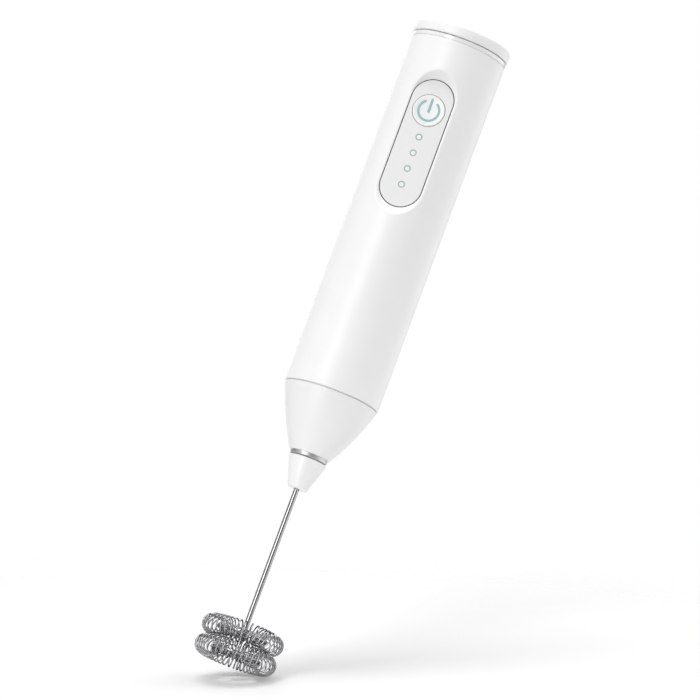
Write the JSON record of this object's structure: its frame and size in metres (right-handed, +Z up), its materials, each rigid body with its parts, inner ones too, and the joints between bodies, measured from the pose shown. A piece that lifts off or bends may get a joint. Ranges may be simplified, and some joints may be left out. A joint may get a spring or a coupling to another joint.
{
  "type": "milk frother",
  "caption": "Slim handheld rechargeable milk frother with a stacked coil whisk on a thin shaft, a push-on whisk hub, a flush power button panel and a lift-off end cap.",
  "frame": {"origin": "on the frother's axis at the lowest point of the whisk", "axes": "+Z up the axis from the whisk to the cap; the control panel faces -Y"},
  "size_m": [0.0336, 0.0336, 0.226],
  "materials": {
    "shell_white": "satin white",
    "cone_white": "satin white",
    "cap_white": "satin white",
    "hub_white": "satin white",
    "trim_white": "polished white",
    "panel_grey": "fine matte, very light grey",
    "button_white": "satin white",
    "symbol_teal": "pale blue-green inlay",
    "ring_teal": "pale blue-green inlay",
    "light_guide": "translucent white",
    "stainless": "fine turned",
    "wire_steel": "drawn wire",
    "coil_steel": "bright drawn wire",
    "shaft_steel": "ground",
    "screw_steel": "zinc plated",
    "motor_steel": "plated drawn can",
    "core_steel": "stacked laminations",
    "usb_steel": "nickel plated",
    "nickel": "nickel strip",
    "bronze": "sintered bronze",
    "brass": "plated brass",
    "copper": "enamelled copper",
    "carbon": "carbon",
    "ferrite": "ferrite",
    "black_rubber": "moulded rubber",
    "white_silicone": "moulded silicone",
    "inner_plastic": "moulded, unpolished",
    "bell_plastic": "moulded nylon",
    "black_plastic": "moulded black",
    "plunger_brown": "moulded",
    "led_white": "lens over package",
    "chip_black": "moulded package",
    "passive_tan": "ceramic",
    "board_green": "solder mask",
    "cell_wrap": "shrunk sleeve",
    "lead_red": "insulated lead",
    "lead_black": "insulated lead"
  },
  "bodies": {
    "handle": {"main_housing": "shell_white", "nose_cone": "cone_white", "nose_ring": "stainless", "nose_bush": "bronze", "shaft_seal": "black_rubber", "trim_ring": "trim_white", "end_plate": "inner_plastic", "end_plate_screws": "screw_steel", "control_panel": "panel_grey", "panel_gasket": "black_rubber", "indicator_rings": "ring_teal", "light_guides": "light_guide", "main_board": "board_green", "board_screws": "screw_steel", "switch_body": "black_plastic", "indicator_leds": "led_white", "board_chips": "chip_black", "board_passives": "passive_tan", "chassis": "inner_plastic", "battery_cell": "cell_wrap", "cell_terminal": "nickel", "cell_tabs": "nickel", "charging_board": "board_green", "usb_shell": "usb_steel", "usb_tongue": "black_plastic", "link_pins": "brass", "link_spacer": "black_plastic", "motor_mount": "inner_plastic", "motor_screws": "screw_steel", "motor_can": "motor_steel", "motor_damper": "black_rubber", "motor_end_bell": "bell_plastic", "front_bearing": "bronze", "rear_bearing": "bronze", "motor_magnets": "ferrite", "motor_brushes": "carbon", "motor_terminals": "brass", "motor_leads": "lead_red", "battery_leads": "lead_black"},
    "drive": {"motor_shaft": "shaft_steel", "rotor_core": "core_steel", "rotor_windings": "copper", "commutator": "copper", "drive_spindle": "stainless"},
    "whisk": {"whisk_hub": "hub_white", "hub_oring": "black_rubber", "whisk_shaft": "wire_steel", "upper_ring_frame": "wire_steel", "lower_ring_frame": "wire_steel", "upper_coil": "coil_steel", "lower_coil": "coil_steel"},
    "button": {"power_button": "button_white", "power_symbol": "symbol_teal"},
    "plunger": {"switch_plunger": "plunger_brown"},
    "cap": {"top_cap": "cap_white", "cap_seal": "white_silicone"}
  },
  "joints": [
    {"name": "drive_spin", "type": "hinge", "parent": "handle", "child": "drive", "pos_m": [0, 0, 0.1], "axis": [0, 0, 1], "continuous": true},
    {"name": "whisk_release", "type": "slide", "parent": "drive", "child": "whisk", "axis": [0, 0, -1], "range_m": [0, 0.015]},
    {"name": "button_press", "type": "slide", "parent": "handle", "child": "button", "axis": [0, 1, 0], "range_m": [0, 0.0005], "stiffness_N_per_m": 2000},
    {"name": "plunger_press", "type": "slide", "parent": "handle", "child": "plunger", "axis": [0, 1, 0], "range_m": [0, 0.0006]},
    {"name": "cap_lift", "type": "slide", "parent": "handle", "child": "cap", "axis": [0, 0, 1], "range_m": [0, 0.015]}
  ],
  "couplings": [
    {"joint": "plunger_press", "follows": "button_press", "ratio": 1}
  ]
}
